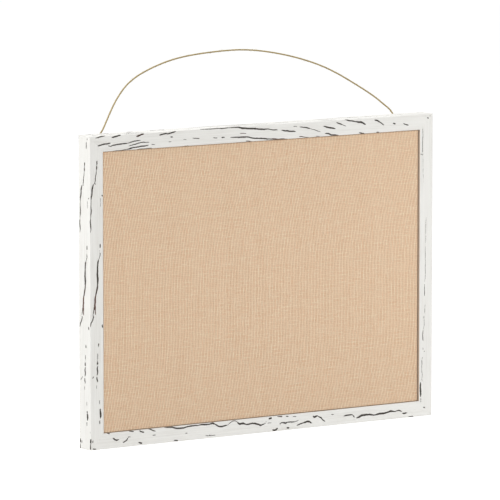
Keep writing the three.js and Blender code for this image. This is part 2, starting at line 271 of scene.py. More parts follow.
def new_piece(name, points, faces, finish, body, vectors=None):
    mesh = bpy.data.meshes.new(name)
    mesh.from_pydata([tuple(p) for p in points], [], faces)
    for label, values in (vectors or {}).items():
        store(mesh, label, values)
    mesh.materials.append(finish.owner)
    piece = in_scene(name, mesh)
    soften(piece)
    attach(piece, body)
    return piece


def store(mesh, label, values):
    """Keeps one vector at each point of a mesh."""
    layer = mesh.attributes.get(label) or mesh.attributes.new(label, "FLOAT_VECTOR", "POINT")
    layer.data.foreach_set("vector", np.asarray(values, dtype=np.float32).ravel())


def soften(piece, sharp=sharp_turn):
    """Smooth shading, with edges left sharp where the surface turns by more than an angle."""
    piece.data.shade_smooth()
    piece.data.set_sharp_from_angle(angle=sharp)


def settle(piece, sharp=sharp_turn):
    """Applies the piece's modifiers to its mesh."""
    graph = bpy.context.evaluated_depsgraph_get()
    done = bpy.data.meshes.new_from_object(piece.evaluated_get(graph))
    piece.modifiers.clear()
    piece.data = done
    soften(piece, sharp)


def repaint(node, finish):
    """A finish for a piece that stays as the frame has it."""
    for place in frame["nodes"][node].material_slots:
        place.material = finish.owner


print(f"edges stay sharp where a surface turns by over {math.degrees(sharp_turn):.0f} degrees")

# %% [markdown]
# ## A tube along a path
# Twine, knots and screw eyes are all one thing: a section carried along a path. A curve with a round bevel
# could do that, but not with a section that turns and changes on its way, so the rings are laid here one by
# one. Each is turned on from the one before, which keeps the tube from twisting by itself.

# %% Sweep a tube along a path
def travelled(path):
    """The distance along a path to each of its points."""
    steps = [0.0] + [(b - a).length for a, b in zip(path, path[1:])]
    return np.cumsum(steps).tolist()


def quads(rings, sides):
    """Faces that join each ring of points to the next."""
    faces = []
    for i in range(rings - 1):
        for k in range(sides):
            a, b = i * sides + k, i * sides + (k + 1) % sides
            faces.append((a, b, b + sides, a + sides))
    return faces


def tube(path, radius_at, sides):
    """Points, faces and grain of a closed tube. radius_at takes the way travelled and the angle."""
    along = travelled(path)
    points, grain = [], []
    ahead = (path[1] - path[0]).normalized()
    side = ahead.orthogonal().normalized()
    for i, centre in enumerate(path):
        before = path[max(i - 1, 0)]
        after = path[min(i + 1, len(path) - 1)]
        turned = (after - before).normalized()
        side = ahead.rotation_difference(turned) @ side
        ahead = turned
        other = ahead.cross(side)
        for k in range(sides):
            angle = turn * k / sides
            radius = radius_at(along[i], angle)
            points.append(centre + radius * (math.cos(angle) * side + math.sin(angle) * other))
            grain.append((along[i], angle, 0))
    last = (len(path) - 1) * sides
    ends = [tuple(reversed(range(sides))), tuple(range(last, last + sides))]
    return points, quads(len(path), sides) + ends, grain


def smooth_path(knots, spacing):
    """Points at an even spacing on a smooth curve through the knots."""
    rough = []
    steps = 24
    padded = [2 * knots[0] - knots[1], *knots, 2 * knots[-1] - knots[-2]]
    for a, b, c, d in zip(padded, padded[1:], padded[2:], padded[3:]):
        for k in range(steps):
            t = k / steps
            bend = (2 * a - 5 * b + 4 * c - d) * t**2 + (3 * b - a - 3 * c + d) * t**3
            rough.append(0.5 * (2 * b + (c - a) * t + bend))
    rough.append(knots[-1])
    along = travelled(rough)
    count = max(2, round(along[-1] / spacing))
    wanted = np.linspace(0, along[-1], count + 1)
    columns = [np.interp(wanted, along, [p[axis] for p in rough]) for axis in range(3)]
    return [Vector(p) for p in zip(*columns)]


trial = smooth_path([Vector((0, 0, 0)), Vector((0, 0, 10 * mm))], mm)
print("a straight tube 10 mm long has", len(tube(trial, lambda along, angle: mm, 8)[1]), "faces")

# %% [markdown]
# ## The twine's finish
# Jute twine is two or three loose yarns of coarse fibre laid round each other. The grooves between the yarns
# are in the mesh; the fibres that run along each yarn, and the paler and darker ones among them, are drawn
# by noise that is stretched along the lay.

# %% Jute twine
twine_radius = 1.1 * mm
lay_length = 7.5 * mm


def jute_finish():
    jute = material("jute_twine", Roughness=0.9, Specular_IOR_Level=0.2)
    grain = jute.attribute("grain")
    lay = jute.part(grain, "Y") - jute.part(grain, "X") * (turn / lay_length)
    yarn = jute.node("ShaderNodeCombineXYZ", {}, {0: jute.part(grain, "X") * 260.0, 1: lay * 3.2})
    fibres = jute.noise(yarn, detail=4.0)
    blotches = jute.noise(jute.stretched(grain, (70, 0, 0)), detail=2.0)
    tone = fibres * 0.75 + blotches * 0.25
    dark, pale = colour(132, 115, 74), colour(192, 174, 128)
    jute.feed("Base Color", jute.mix(tone.step(0.2, 0.8), dark, pale))
    jute.bump(fibres, 0.15 * mm)
    return jute


jute = jute_finish()
jute.report()

# %% [markdown]
# ## The hanger's route
# The twine rises in one free arch, which leans back behind the board. It is 0.61 m long from knot to knot.
# The route is a list of places in the arch's own plane, in millimetres: across from the middle of the
# board, and out from the line through the two screw eyes.

# %% Lay the route
hanger_lean = math.radians(34)
twine_route = [
    (-261, 10.1), (-253.5, 17.2), (-242.5, 30.3), (-230.5, 44.8), (-218.2, 58.8), (-204.5, 72.5),
    (-187.5, 86.8), (-170, 97.7), (-150.5, 106.8), (-126, 115.8), (-98.5, 123.7), (-72, 128.8),
    (-46, 131.9), (-20.5, 133.8), (5, 135), (30, 135), (54.5, 132.9), (78.5, 128.9), (101.5, 123.5),
    (124, 116.8), (146.5, 108.3), (168, 98), (188.5, 85), (209.5, 68.6), (229, 52), (240.5, 40.8),
    (249.8, 29.8), (258.2, 19), (261, 10.1),
]
eye_line = Vector(frame["joints"][0]["pos_m"])


def on_hanger(across, out, off=0.0):
    """A place in the arch's plane, or off it towards the front, as a place in the room."""
    lifted = Vector((across, math.sin(hanger_lean) * out, math.cos(hanger_lean) * out))
    return eye_line + lifted + Vector((0, -math.cos(hanger_lean) * off, math.sin(hanger_lean) * off))


twine_path = smooth_path([on_hanger(across * mm, out * mm) for across, out in twine_route], 0.7 * mm)
twine_length = travelled(twine_path)[-1]
print(f"twine {twine_length:.4f} m from knot to knot, {len(twine_path)} rings")

# %% [markdown]
# ## The twine
# A rope's outline is its yarns seen end on, and the lay turns that outline as it goes along. So the tube's
# radius is a sum of lobes whose angle advances with the way travelled. Slow noise makes it thicker and
# thinner, as hand-spun yarn is. Loose fibres stand out of it, but none where it would be driven into the
# rail when the hanger swings forward.

# %% Twist the twine
yarns = 3
yarn_relief = 0.11
slub_relief = 0.07
hair_radius, hair_steps = 0.055 * mm, 4
forward_limit = math.radians(54)
rail_room = 0.2 * mm


def meets_rail(place):
    """Whether a place on the hanger touches the top rail once the hanger is swung right forward."""
    swung = eye_line + Matrix.Rotation(forward_limit, 3, "X") @ (place - eye_line)
    return swung.y < back + rail_room and swung.z < top + rail_room


def twine_radius_at(along, angle, scale=1.0):
    lobes = math.cos(yarns * (angle - turn * along / lay_length))
    slubs = noise.noise(Vector((along * 140, scale, 0)))
    return scale * twine_radius * (1.0 + yarn_relief * lobes + slub_relief * slubs)


def join(whole, part):
    """Adds a part's points, faces and grain to those of a whole."""
    points, faces, grain = whole
    faces += [tuple(corner + len(points) for corner in face) for face in part[1]]
    points += part[0]
    grain += part[2]


def fibres_on(path, count, reach, seed, start=0):
    """Loose fibres that stand out of a twine: thin three-sided hairs that curl away from it."""
    chance = random.Random(seed)
    fibres = [], [], []
    for _ in range(count):
        i = chance.randrange(start, len(path) - 2)
        ahead = (path[i + 1] - path[i]).normalized() * chance.choice((-1, 1))
        out = ahead.orthogonal().normalized()
        out.rotate(Matrix.Rotation(chance.uniform(0, turn), 3, ahead))
        length = reach * chance.uniform(0.4, 1.0)
        lift = chance.uniform(0.25, 0.9)
        sway = ahead.cross(out) * chance.uniform(-0.4, 0.4)
        hair = []
        for k in range(hair_steps + 1):
            t = k / hair_steps
            curl = ahead * t + (out * lift + sway) * t * t
            hair.append(path[i] + out * twine_radius * 0.7 + length * curl)
        if not any(meets_rail(place) for place in hair):
            join(fibres, tube(hair, lambda along, angle: hair_radius, 3))
    return fibres


def twine_piece(name, points, faces, grain):
    return new_piece(name, points, faces, jute, "hanger", {"grain": grain})


twine = twine_piece("hanger_twine_laid", *tube(twine_path, twine_radius_at, 18))
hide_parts("hanger_twine")
fuzz = twine_piece("hanger_fibres", *fibres_on(twine_path, 420, 5 * mm, seed=4))
print("twine faces", len(twine.data.polygons), "fibre faces", len(fuzz.data.polygons))

# %% [markdown]
# ## The knots
# Each end passes through its screw eye, comes back, and is bound round itself in nearly three tight turns
# before it leaves as a short frayed tail. One path follows all of that, so the knot is a real one: down
# beside the standing part, round the eye's wire, up again, and round and round. Its turns sit a little
# behind the standing part, which keeps them off the rail when the hanger swings forward.

# %% Tie the two ends
eye_wire = 0.9 * mm
eye_ring_radius = 3.7 * mm
eye_span = 0.532
twine_rise = math.radians(52)
knot_squeeze = 0.86
loop_radius = 2.2
bound_across, bound_deep = 1.6, 1.5
binding_steps, steps_a_turn = 26, 10
frayed_rings = 12


def knot_path(side):
    """The path of one end of the twine: side is -1 at the left and 1 at the right."""

    def at(ahead, beside, off):
        across = side * (eye_span / 2 + (math.sin(twine_rise) * beside - math.cos(twine_rise) * ahead) * mm)
        out = eye_ring_radius + (math.sin(twine_rise) * ahead + math.cos(twine_rise) * beside) * mm
        return on_hanger(across, out, off * mm)

    route = [at(9.4, 0, 0), at(7.0, 0, -0.2), at(4.8, 0, -0.4), at(3.2, -0.3, -0.6)]
    for k in range(11):
        angle = math.radians(40 + 28 * k)
        route.append(at(loop_radius * math.cos(angle), -loop_radius * math.sin(angle), -0.5 + 0.1 * k))
    route.append(at(2.9, 0.5, 0.6))
    for k in range(binding_steps + 1):
        angle = math.radians(75) + turn * k / steps_a_turn
        beside, off = bound_across * math.cos(angle), bound_deep * math.sin(angle) - 0.45
        route.append(at(3.4 + 3.0 * k / binding_steps, beside, off))
    route += [at(6.1, 2.1, -1.7), at(4.4, 3.7, -1.0), at(1.2, 5.6, -0.4), at(-3.0, 7.4, 0)]
    return smooth_path(route, 0.35 * mm)


def knot(name, side):
    path = knot_path(side)
    tied = tube(path, lambda along, angle: twine_radius_at(along, angle, knot_squeeze), 14)
    piece = twine_piece(f"hanger_knot_{name}_tied", *tied)
    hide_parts(f"hanger_knot_{name}")
    fibres = fibres_on(path, 46, 4.5 * mm, seed=7 + side)
    join(fibres, fibres_on(path, 60, 5 * mm, seed=11 + side, start=len(path) - frayed_rings))
    hairs = twine_piece(f"knot_fibres_{name}", *fibres)
    print(piece.name, len(path), "rings", f"{travelled(path)[-1]:.3f} m of twine")
    return [piece, hairs]


knot_pieces = knot("left", -1) + knot("right", 1)

# %% [markdown]
# ## White-washed wood
# The wash is thin: the grain's long streaks show faintly through it. Where it has cracked or been rubbed
# off, dark old wood shows, nearly black in the deep cracks and red-brown in one. Each point of a rail's mesh
# stores its place along and round the moulding, and how worn it is. The finish draws the ragged edge of
# each crack between those points with fine noise. The back was never painted, and the
# narrow lip next to the cloth is bare, with a greyer tone that is partly stain and partly painted shade for
# the groove beside the cloth.

# %% Wood finish
def wood_finish():
    wood = material("whitewashed_wood", Specular_IOR_Level=0.2)
    grain = wood.attribute("grain")
    state = wood.attribute("state")
    worn, warm, bare = (wood.part(state, axis) for axis in "XYZ")
    streaks = wood.noise(wood.stretched(grain, (9, 620, 1)), detail=5.0)
    patches = wood.noise(wood.stretched(grain, (14, 60, 1)), detail=3.0)
    ragged = wood.noise(wood.stretched(grain, (420, 1500, 1)), detail=4.0)
    crack = (worn + (ragged - 0.5) * 0.5).step(0.34, 0.6)
    thin = (streaks * 0.6 + patches * 0.4).step(0.42, 0.7)
    wash = wood.mix(thin, colour(234, 233, 229), colour(223, 221, 216))
    old = wood.mix(ragged, colour(40, 37, 35), colour(88, 81, 75))
    brown = wood.mix(ragged, colour(60, 40, 34), colour(120, 82, 72))
    painted = wood.mix(crack, wash, wood.mix(warm, old, brown))
    pine = wood.mix(streaks.step(0.35, 0.65), colour(201, 167, 120), colour(222, 192, 147))
    # On the lip, where worn is 0.8, the pine turns greyer: partly a stain and partly painted shade for the
    # groove.
    pine = wood.mix(worn, pine, colour(188, 175, 165))
    edge = (bare + (patches - 0.5) * 0.5).step(0.4, 0.6)
    wood.feed("Base Color", wood.mix(edge, painted, pine))
    wood.feed("Roughness", 0.62 + crack * 0.25)
    wood.bump(streaks * 0.12 + patches * 0.1 - crack, 0.35 * mm)
    return wood


wood = wood_finish()
wood.report()

# %% [markdown]
# ## Cracks and worn places
# These are read off the photograph, as places on the front in millimetres: across from the middle of
# the board and up from its bottom edge. A crack belongs to its own piece of wood and stops at the mitre.

# %% List the cracks in the rails
cracks = {}
cracks["rail_top"] = [
    (1.7, 0, -294.5, 454, -289, 455, -282, 456.5, -277, 457),
    (2.1, 0, -267, 453.5, -261, 454.5, -251, 456),
    (2.6, 0.4, -224.5, 452.5, -218, 454, -211.5, 456),
    (2.2, 0, -184.5, 452.3, -178, 453.5, -171.5, 454.3),
    (2.0, 0, -171, 453, -163, 454.3, -156.5, 456.2),
    (2.0, 0, -291.5, 443, -284, 444, -277, 444.8, -269, 445.6),
    (1.0, 0, -273, 442, -267.5, 440.6),
    (1.9, 0, -267, 441.7, -255, 442.8, -240, 443.7),
    (1.3, 0, -240, 443.7, -231.5, 445.5, -217, 446.8),
    (1.3, 0, -238, 439.7, -224, 442.2, -212, 443.8, -203, 443),
    (1.2, 0, -267, 433.2, -251, 433.8, -240, 434.5),
    (1.8, 0, -242, 434.3, -231.5, 436.7, -220, 437.7, -203, 438.6),
    (0.6, 0, -200, 440.2, -191, 439.3),
    (1.4, 0, -222, 433.4, -198, 434),
    (1.4, 0, -166, 448, -161, 448.2),
    (0.7, 0, -169, 441.4, -164, 441.6),
    (0.7, 0, -143, 443.7, -137, 443.7),
    (1.1, 0, -127, 444.4, -121, 444, -114.5, 443.6),
    (0.8, 0, -91, 443, -83, 442.5),
    (1.9, 0, -77, 442.4, -71, 442.2),
    (1.7, 0, -113, 456.8, -88, 456.3, -73, 456, -60, 456.4),
    (2.5, 0, -62, 456.4, -48, 456.2, -40, 454, -28, 453, -16.5, 452, 0, 450.3, 8, 450.2),
    (1.3, 0, 6, 450.3, 11.5, 449.3, 23, 448),
    (1.9, 0, -60, 442, -41, 441.3, -28.5, 440.3, -18.5, 438.3, 0, 436.6, 15, 434.8),
    (2.0, 0.5, 10, 435.6, 27, 433.9, 41, 432.9),
    (0.9, 0.9, -44, 446.7, -32.5, 446),
    (1.2, 0.6, -33.5, 434.7, -23, 433.6),
    (0.6, 0, -142, 433.6, -133, 433.5),
    (2.2, 0, 30, 447, 38, 445.7, 46.5, 444.7, 55, 444),
    (0.6, 0, 51, 452.2, 58, 451.3),
    (1.5, 0, 62, 450.3, 75, 448.6, 82, 446.7),
    (0.8, 0, 82, 446.7, 90, 443.8, 101, 441),
    (0.9, 0.5, 61, 436.3, 68, 435.4, 78, 433.8),
    (0.7, 0, 91, 434.8, 99, 434),
    (2.3, 0, 105.5, 448.9, 111.5, 447, 118, 445.6, 127, 444.6),
    (2.2, 0, 108, 438.2, 115, 437, 119, 435.2, 132, 433.8),
    (1.9, 0, 129, 453.6, 133, 451, 138.5, 449.7),
    (0.9, 0, 138.5, 449.7, 146, 446.8),
    (1.9, 0, 145, 456.6, 150, 455.3, 157, 453.7, 165, 452.2),
    (2.6, 0, 163, 452.4, 173, 451.3, 177, 450, 181.5, 447.2),
    (2.1, 0, 198, 453, 205, 451, 208.5, 449.2),
    (1.4, 0, 208.5, 449.2, 215, 444.6),
    (1.9, 0, 231.5, 446.3, 236, 445),
    (1.3, 0, 250.5, 445, 255, 442.8),
    (1.8, 0, 254, 443.2, 260, 441.5),
    (1.7, 0, 170, 435.7, 175, 434.3, 179.5, 434),
    (1.5, 0, 201, 434.5, 206.5, 434),
    (1.9, 0, 294.5, 451.2, 296.5, 449.8),
    (1.0, 0, 291, 454.4, 292, 453.8),
    (1.0, 0, 298.5, 453.6, 299.5, 453),
]
cracks["rail_bottom"] = [
    (2.1, 0, -275.5, 23.3, -271.5, 22.3),
    (2.1, 0, -266.5, 15.8, -262.5, 12.8, -259, 11.7, -256.5, 12.5),
    (1.7, 0, -249, 7.3, -243, 10, -241, 11.8),
    (1.0, 0, -241, 11.8, -240, 14.6, -235.5, 14.3),
    (1.7, 0, -238, 23.6, -233.5, 22.5, -230, 21.8),
    (1.7, 0, -220.5, 23, -217, 20.5, -212.5, 18.8),
    (1.6, 0, -204, 24, -198, 21, -192.5, 18.8),
    (0.8, 0, -198, 13.5, -192, 13.3),
    (2.5, 0, -221.8, 5, -215.8, 2.8),
    (2.2, 0, -177, 23.8, -163, 22.6, -156.5, 20.3, -142.5, 19.3, -136.5, 21.2, -116.5, 21),
    (2.0, 0, -116.5, 21, -111.5, 21.8, -98, 21, -93, 21.9),
    (2.7, 0, -96, 21.3, -92.5, 22, -88.5, 20.5),
    (2.2, 0, -88.5, 20.5, -81.5, 16.2, -75, 15.7, -66.5, 17),
    (1.2, 0.3, -66.5, 17, -60, 20.5, -56.5, 22.6, -52.5, 22.8, -48.5, 20.6),
    (3.0, 0, -47.5, 19.5, -44, 16.8, -38, 17.2, -34, 15.6),
    (2.4, 0, -34, 15.6, -30, 14.7, -21.5, 15.7, -13.5, 13.8, -6.5, 11.7, 0, 13),
    (1.1, 0, 0, 13, 2.5, 16.2),
    (2.0, 0, -160, 2.7, -153, 1.7),
    (1.8, 0, -301, 2.2, -295, 1.7),
    (0.9, 0, -280.5, 1.8, -279.5, 1.6),
    (0.9, 0, -141, 11.5, -136, 11.4),
    (0.9, 0, -130.5, 6.6, -129.5, 6.4),
    (0.8, 0, -105, 4.4, -87, 4.2),
    (0.7, 0, -99, 4.4, -95, 7),
    (0.8, 0, 5, 13.5, 12.5, 13.3),
    (2.7, 0, 7, 20.3, 13, 20.8),
    (1.6, 0.5, 23, 22, 32.5, 21.3),
    (1.6, 0, 38.5, 20.8, 43.5, 20.5),
    (1.0, 0, 50.5, 20, 57, 19.3),
    (1.7, 0, 26.5, 10, 31, 12.2, 34, 12.4),
    (2.5, 0, 33, 12.4, 37.5, 11, 41, 12.1),
    (1.5, 0, 41, 12.1, 50, 11.3, 54, 11.7),
    (0.9, 0, 54, 11.7, 61.5, 13.3),
    (2.5, 0, 14, 2.8, 18.5, 1.8, 21, 3, 23, 5),
    (2.8, 0, 40, 3.6, 44, 3.4),
    (1.8, 0, 58, 5.8, 64, 7.7, 70, 9),
    (2.5, 0, 69, 8.8, 76.5, 10.3, 81, 9.3, 85, 6.7),
    (2.8, 0, 87, 17.5, 90, 15.2, 93, 16.7, 96, 17),
    (1.7, 0, 96, 16.5, 102, 13.8, 105, 10, 108.5, 7.2),
    (1.5, 0, 120, 17, 124, 16.8),
    (2.0, 0, 143, 12.7, 149, 13.1, 159, 13.4),
    (1.7, 0, 159, 13.4, 160.5, 10.6, 163, 9.3),
    (2.9, 0, 166, 7.4, 170, 8.7, 176.5, 11, 183, 11.3, 191.5, 10.7, 199, 9.2),
    (2.9, 0, 199, 9.2, 207.5, 10.7, 216.5, 10.3, 221.5, 11.3, 230, 12.7, 236.5, 11.2),
    (1.9, 0, 236.5, 11.2, 241, 12.1, 245, 12.3, 249.5, 10.2),
    (2.1, 0, 250.5, 8, 253.5, 7.1, 258.5, 7.4),
    (1.8, 0, 261.5, 0.4, 266.5, 0.8, 271, 1.4),
    (1.1, 0, 277.5, 0.6, 283, 0.5),
    (2.6, 0, 289.3, 13.6, 293, 13),
]
print({name: len(lines) for name, lines in cracks.items()})

# %% [markdown]
# ## The stiles' marks
# The left stile is split by two long cracks, of which the lower one shows red-brown wood, and is rubbed near
# its foot. The right stile is the least worn piece: hair lines down its inner half, and one broad mark low
# down. They are listed in the same way, from the top down.

# %% List the cracks in the stiles
cracks["stile_left"] = [
    (1.8, 0, -292.3, 421, -292, 415.5),
    (2.2, 0, -292.3, 414, -292.5, 409),
    (1.3, 0, -293.5, 406, -294.3, 400, -295.3, 392),
    (1.4, 0, -296, 389.5, -295.5, 387.5),
    (2.1, 0, -298.5, 387.5, -300.6, 380.5, -300.9, 372, -302.4, 365.5),
    (1.8, 0, -302.6, 358, -302.3, 350.5, -302.5, 342),
    (1.9, 0, -303.4, 337, -303.6, 333, -303, 327, -302.5, 322),
    (1.6, 0, -284.6, 370.3, -281.6, 369.8),
    (0.6, 0, -286, 367, -286.2, 354),
    (1.8, 0, -287.1, 300.5, -287.1, 294.5),
    (1.1, 0, -286.8, 287, -287.6, 283, -289.3, 278.5),
    (2.4, 0, -289.6, 278, -291.2, 273.5, -291.8, 265),
    (3.0, 0, -291.6, 267, -292.1, 257, -291.6, 248, -291.8, 241),
    (2.4, 0.2, -291.8, 243, -292.6, 234.5, -294.3, 229, -295.3, 224.5),
    (3.0, 0.9, -295.2, 225.5, -295.8, 219.5, -296.4, 212, -296.1, 204.5),
    (1.7, 0.8, -296.1, 206, -295.5, 198.5),
    (1.4, 0.3, -297.4, 209.5, -298.6, 203, -299.9, 198),
    (1.7, 0, -299.9, 198, -298.8, 194.5, -300.6, 189.5, -303, 185.8, -304.4, 180.5),
    (1.4, 0, -303, 197.5, -303.2, 196),
    (2.1, 0, -284.3, 182.5, -283.6, 178.3),
    (1.9, 0, -290.6, 155.8, -290.5, 151.2),
    (0.7, 0, -292, 141.8, -292, 134.5),
    (2.5, 0, -292.2, 128.8, -292.2, 124.6),
    (2.1, 0, -292, 122.3, -293, 118.5, -292, 114.8, -293, 109.8),
    (2.1, 0, -293.2, 107.5, -293.6, 104, -292.2, 99.5),
    (0.7, 0, -293.7, 96, -293.7, 89.5),
    (1.2, 0, -303, 103.3, -301, 105.6, -298.5, 109.2),
    (0.9, 0, -288.7, 73, -288.7, 67),
    (2.2, 0, -288.4, 60, -287.4, 56.5),
    (3.3, 0, -287.5, 56.5, -286.9, 50.5, -287.4, 46),
    (1.6, 0, -288.7, 43, -288.7, 38.3),
    (2.2, 0, -304.3, 17, -304.5, 10.8),
    (1.5, 0, -300.9, 15, -300.8, 10.8),
    (2.1, 0, -304.5, 9.5, -304.6, 1.5),
    (1.5, 0, -288.2, 451, -288.4, 441),
    (1.6, 0, -286, 456, -286, 453.5),
    (0.9, 0, -305.5, 32, -305.5, 25),
    (0.9, 0, -292.4, 411, -293.5, 403, -294.8, 396, -296, 390, -298.5, 387.5),
    (1.0, 0, -302, 368, -302.6, 362, -302.5, 352, -302.8, 342, -303.4, 336),
    (0.7, 0, -303, 324, -303.4, 318),
    (0.6, 0, -288.5, 292, -287.6, 284),
    (0.7, 0, -291.6, 141, -291.8, 134, -292.2, 128),
]
cracks["stile_right"] = [
    (0.9, 0, 286.4, 436.5, 286.2, 416, 285.8, 399),
    (1.5, 0, 282.8, 396.8, 287, 396.4),
    (0.4, 0, 286.5, 395, 287.5, 362, 288.5, 352),
    (0.5, 0, 293.5, 303, 292.4, 283, 293, 270, 292, 259),
    (0.6, 0, 292, 259, 291.8, 212, 290.6, 203),
    (0.9, 0, 290.4, 201, 290.5, 181),
    (0.6, 0, 291.3, 170, 291, 155),
    (1.0, 0, 290.2, 152.5, 289.6, 149),
    (0.6, 0, 289.8, 149, 290.5, 140, 288.7, 131),
    (1.2, 0, 288.7, 131, 288, 124, 288.1, 114),
    (0.9, 0, 288, 104, 288.2, 101),
    (1.5, 0, 289.8, 98.2, 290.8, 97.6),
    (0.6, 0, 287.8, 91, 286.6, 86),
    (1.1, 0, 286.6, 86, 286.5, 73),
    (0.7, 0, 286.5, 73, 286.8, 52),
    (2.9, 0, 284, 51.5, 284, 42, 284, 30),
    (1.0, 0, 284.5, 28, 284.5, 21.5),
    (1.3, 0, 297, 107.5, 298, 106.5),
]
print({name: len(lines) for name, lines in cracks.items()})

# %% [markdown]
# ## How worn each point is
# A point is worn by its distance from the nearest crack, in that crack's widths, and cracks narrow towards
# their ends. Below a millimetre a crack no longer narrows but fades, so that the mesh can still carry it.
# Noise at two scales bends the lines a little, as wood splits. Its seed is set, because Blender otherwise
# starts it from the clock and every run would split the wood anew.

# %% Measure wear from the cracks
noise.seed_set(6)
wide_noise, wide_bend = 7, 0.6
fine_noise, fine_bend = 2, 0.3
tip_share, taper = 0.35, 5
thinnest, fading = 1.0, 0.6
softness = 0.55


def wear_at(places, lines):
    """Wear and redness, from 0 to 1, at places on the front in millimetres."""
    bent = []
    for x, z in places:
        wide = noise.noise_vector((x / wide_noise, z / wide_noise, 0))
        fine = noise.noise_vector((x / fine_noise, z / fine_noise, 9))
        across = x + wide_bend * wide.x + fine_bend * fine.x
        up = z + wide_bend * wide.y + fine_bend * fine.y
        bent.append((across, up))
    bent = np.asarray(bent)
    worn = np.zeros(len(bent))
    red = np.zeros(len(bent))
    for width, redness, *line in lines:
        line = np.asarray(line, dtype=float).reshape(-1, 2)
        lengths = np.hypot(*np.diff(line, axis=0).T)
        start = 0.0
        for a, b, length in zip(line, line[1:], lengths):
            share = np.clip(((bent - a) @ (b - a)) / length**2, 0, 1)
            nearest = a + share[:, None] * (b - a)
            distance = np.hypot(*(bent - nearest).T)
            way = (start + share * length) / lengths.sum()
            fullness = np.sqrt(np.clip(taper * np.minimum(way, 1 - way), 0, 1))
            local = width * (tip_share + (1 - tip_share) * fullness)
            wide = np.maximum(local, thinnest)
            level = (local / wide) ** fading * np.exp(-((distance / (softness * wide)) ** 2))
            red = np.where(level > worn, redness, red)
            worn = np.maximum(worn, level)
            start += length
    return worn, red


print("wear on a crack and beside it:", wear_at([(-48, 456), (-48, 450)], cracks["rail_top"])[0].round(2))

# %% [markdown]
# ## The moulding
# The section is a square-edged strip with its front corners eased and a rabbet at the back, where the
# backing sits. It is swept along each side in short steps, finely enough across the front for the cracks
# to be sunk into it, and drawn in towards the middle by its own distance from the outer edge, which mitres
# both ends.

# %% Draw the section
front_arris = 1.2 * mm
back_arris = 0.6 * mm
rabbet_wall = 15.5 * mm
shoulder = 16.2 * mm
mitre_trim = 0.05 * mm


def stretch(start, end, spans, outward, region):
    """Evenly spaced section points from start up to end, which the next stretch adds."""
    places = [Vector(start).lerp(Vector(end), k / spans) for k in range(spans)]
    return [(*place, *outward, region) for place in places]


def eased(centre, first, spans, region):
    """A quarter round of the front arris, from the angle first."""
    made = []
    for k in range(spans):
        angle = math.radians(first + 90 * k / spans)
        out_u, out_d = math.cos(angle), math.sin(angle)
        u, d = centre[0] + front_arris * out_u, centre[1] + front_arris * out_d
        made.append((u, d, out_u, out_d, region))
    return made


inner = face_width - front_arris
deep = board_depth - back_arris
section = [
    *stretch((0, deep), (0, front_arris), 26, (-1, 0), "side"),
    *eased((front_arris, front_arris), 180, 4, "front"),
    *stretch((front_arris, 0), (inner, 0), 30, (0, -1), "front"),
    *eased((inner, front_arris), 270, 4, "front"),
    *stretch((face_width, front_arris), (face_width, shoulder), 6, (1, 0), "lip"),
    *stretch((face_width, shoulder), (rabbet_wall, shoulder), 3, (0, 1), "back"),
    *stretch((rabbet_wall, shoulder), (rabbet_wall, deep), 5, (1, 0), "back"),
    *stretch((rabbet_wall, deep), (rabbet_wall - back_arris, board_depth), 1, (0, 1), "back"),
    *stretch((rabbet_wall - back_arris, board_depth), (back_arris, board_depth), 7, (0, 1), "back"),
    *stretch((back_arris, board_depth), (0, deep), 1, (0, 1), "back"),
]
print("points in the section:", len(section))

# %% [markdown]
# ## Slots and bores
# The fasteners enter the wood from behind: V nails across each mitre, flat points in the rabbet's wall, and
# the shanks of the two screw eyes. Each hole is a prism that runs from front to back, a clearance larger
# than the metal in it, cut with an exact Boolean.

# %% Make the cutters
clearance = 0.3 * mm
overrun = 1 * mm
nail_thickness = 0.6 * mm
bore_radius, bore_depth = 1.2 * mm, 12.3 * mm


def prism(bm, outline, low, high):
    """A closed prism over an outline of (x, z) places, from low to high along Y."""
    near = [bm.verts.new((x, low, z)) for x, z in outline]
    far = [bm.verts.new((x, high, z)) for x, z in outline]
    bm.faces.new(near)
    bm.faces.new(list(reversed(far)))
    for i in range(len(outline)):
        j = (i + 1) % len(outline)
        bm.faces.new((near[j], near[i], far[i], far[j]))


def nail_outline(low, high, across, up):
    """The L of a V nail: its point is at the outer corner, and across and up say which corner that is."""
    thick = nail_thickness + 2 * clearance
    x0, x1 = (low[0] - clearance, high[0] + clearance)[:: -across]
    z0, z1 = (low[2] - clearance, high[2] + clearance)[:: -up]
    x, z = x0 - across * thick, z0 - up * thick
    outline = [(x0, z0), (x1, z0), (x1, z), (x, z), (x, z1), (x0, z1)]
    return outline if across * up > 0 else outline[::-1]


def rectangle(low, high, grow):
    x0, x1, z0, z1 = low[0] - grow, high[0] + grow, low[2] - grow, high[2] + grow
    return [(x0, z0), (x1, z0), (x1, z1), (x0, z1)]


def round_outline(x, z, radius, sides=24):
    angles = [turn * k / sides for k in range(sides)]
    return [(x + radius * math.cos(angle), z + radius * math.sin(angle)) for angle in angles]


def cutter_piece():
    """One mesh that holds every slot and bore."""
    bm = bmesh.new()
    for node in frame["nodes"]:
        low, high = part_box(node)
        if node.startswith("v_nail"):
            across = -1 if "left" in node else 1
            up = 1 if "top" in node else -1
            prism(bm, nail_outline(low, high, across, up), low[1] - clearance, back + overrun)
        elif node.startswith("point"):
            prism(bm, rectangle(low, high, clearance), low[1] - clearance, high[1] + clearance)
    for side in (-1, 1):
        prism(bm, round_outline(side * eye_span / 2, eye_line.z, bore_radius), -bore_depth, overrun)
    bmesh.ops.recalc_face_normals(bm, faces=bm.faces)
    mesh = bpy.data.meshes.new("fastener_slots")
    bm.to_mesh(mesh)
    bm.free()
    mesh.materials.append(wood.owner)
    return in_scene("fastener_slots", mesh)


cutter = cutter_piece()
print("cutter faces:", len(cutter.data.polygons))

